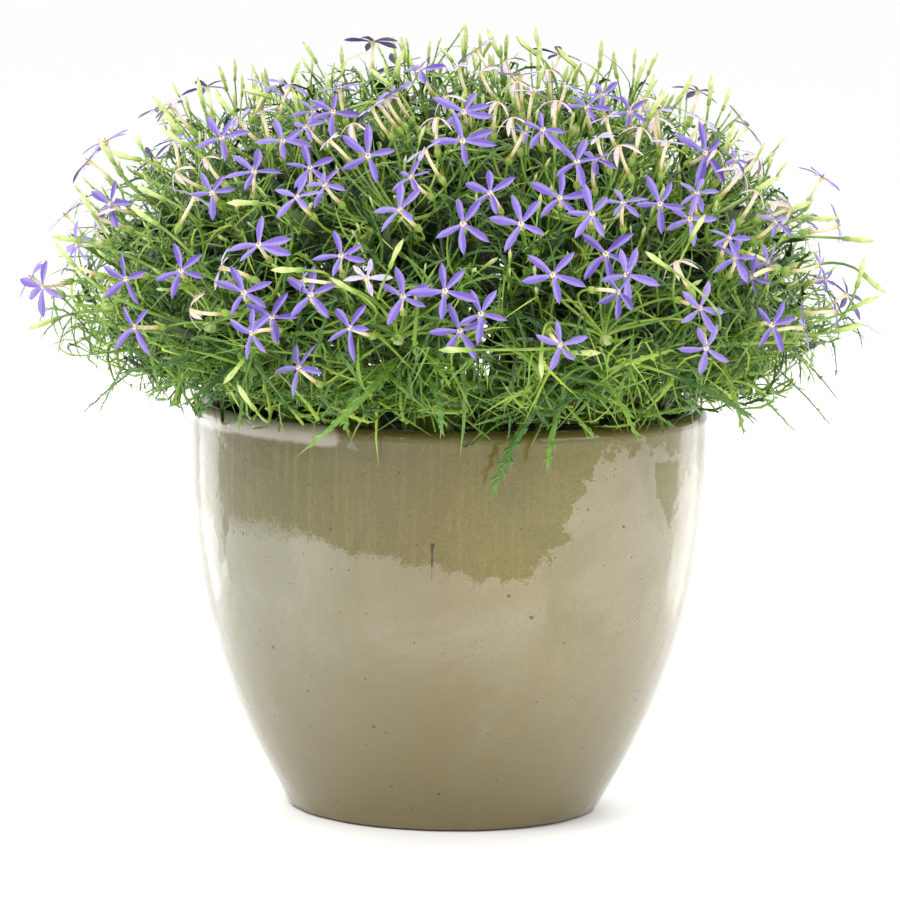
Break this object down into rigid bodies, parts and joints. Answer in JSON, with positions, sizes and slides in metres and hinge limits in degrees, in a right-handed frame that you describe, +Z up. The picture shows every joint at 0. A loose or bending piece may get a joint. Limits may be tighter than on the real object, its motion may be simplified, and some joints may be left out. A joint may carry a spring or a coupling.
{
  "type": "potted laurentia",
  "caption": "Round glazed planter filled with compost, holding a mound of finely cut leaves, pale buds and violet star-shaped blooms on long thin tubes.",
  "frame": {"origin": "middle of the pot's flat foot, on the surface that it stands on", "axes": "+Z up along the pot's axis, +X to the right and -Y towards the side that the picture shows"},
  "size_m": [0.4925, 0.5052, 0.4529],
  "materials": {
    "glaze": "gloss",
    "compost": "matte",
    "foliage": "matte",
    "petals": "matte"
  },
  "bodies": {
    "root": {"pot": "glaze", "compost": "compost", "shoot_01": "foliage", "shoot_02": "foliage", "shoot_03": "foliage", "shoot_04": "foliage", "shoot_05": "foliage", "shoot_06": "foliage", "shoot_07": "foliage", "shoot_08": "foliage", "shoot_09": "foliage", "shoot_10": "foliage", "shoot_11": "foliage", "shoot_12": "foliage", "shoot_13": "foliage", "shoot_14": "foliage", "shoot_15": "foliage", "shoot_16": "foliage", "shoot_17": "foliage", "shoot_18": "foliage", "shoot_19": "foliage", "shoot_20": "foliage", "shoot_21": "foliage", "shoot_22": "foliage", "shoot_23": "foliage", "shoot_24": "foliage", "shoot_25": "foliage", "shoot_26": "foliage", "shoot_27": "foliage", "shoot_28": "foliage", "blooms_01": "petals", "blooms_02": "petals", "blooms_03": "petals", "blooms_04": "petals", "blooms_05": "petals", "blooms_06": "petals", "blooms_07": "petals", "blooms_08": "petals", "blooms_09": "petals", "blooms_10": "petals", "blooms_11": "petals", "blooms_12": "petals", "blooms_13": "petals", "blooms_14": "petals", "blooms_15": "petals", "blooms_16": "petals", "blooms_17": "petals", "blooms_18": "petals", "blooms_19": "petals", "blooms_20": "petals", "blooms_21": "petals", "blooms_22": "petals", "blooms_23": "petals", "blooms_24": "petals", "blooms_25": "petals", "blooms_26": "petals", "blooms_27": "petals", "blooms_28": "petals"}
  },
  "joints": []
}
